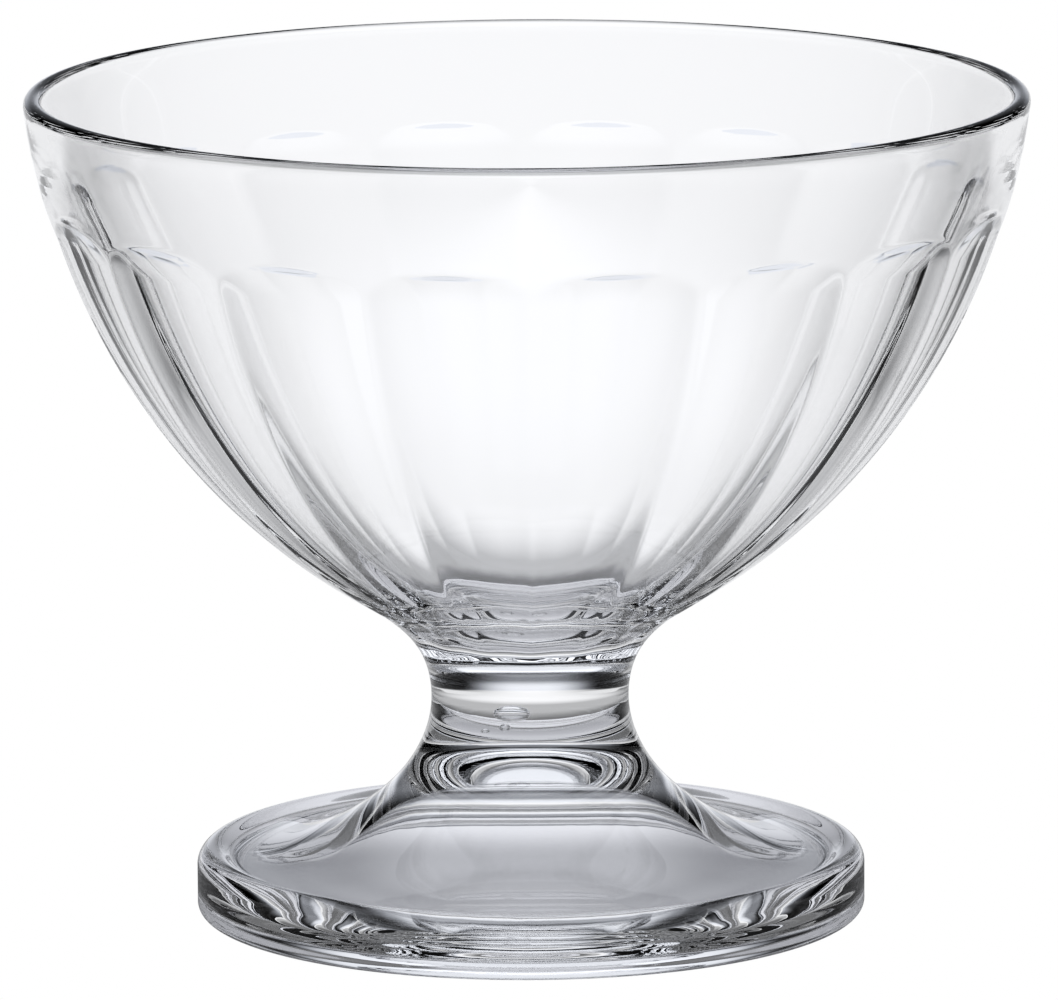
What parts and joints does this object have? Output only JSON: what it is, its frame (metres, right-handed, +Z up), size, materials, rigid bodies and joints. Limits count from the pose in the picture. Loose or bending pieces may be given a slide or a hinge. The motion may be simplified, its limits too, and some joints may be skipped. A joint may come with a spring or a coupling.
{
  "type": "dessert glass",
  "caption": "Clear footed dessert glass: a wide bowl with flat panels under a plain band, a short solid stem and a round hollow foot with a rounded edge, for serving ice cream and puddings.",
  "frame": {"origin": "centre of the ring under the foot, on the surface that the glass stands on", "axes": "+Z up along the axis of the glass, -Y towards the viewer of the picture, +X to the viewer's right; a ridge between two panels points to -Y"},
  "size_m": [0.1052, 0.1052, 0.0873],
  "materials": {
    "clear_glass": "fire polished"
  },
  "bodies": {
    "root": {"bowl": "clear_glass", "stem": "clear_glass", "foot": "clear_glass"}
  },
  "joints": []
}
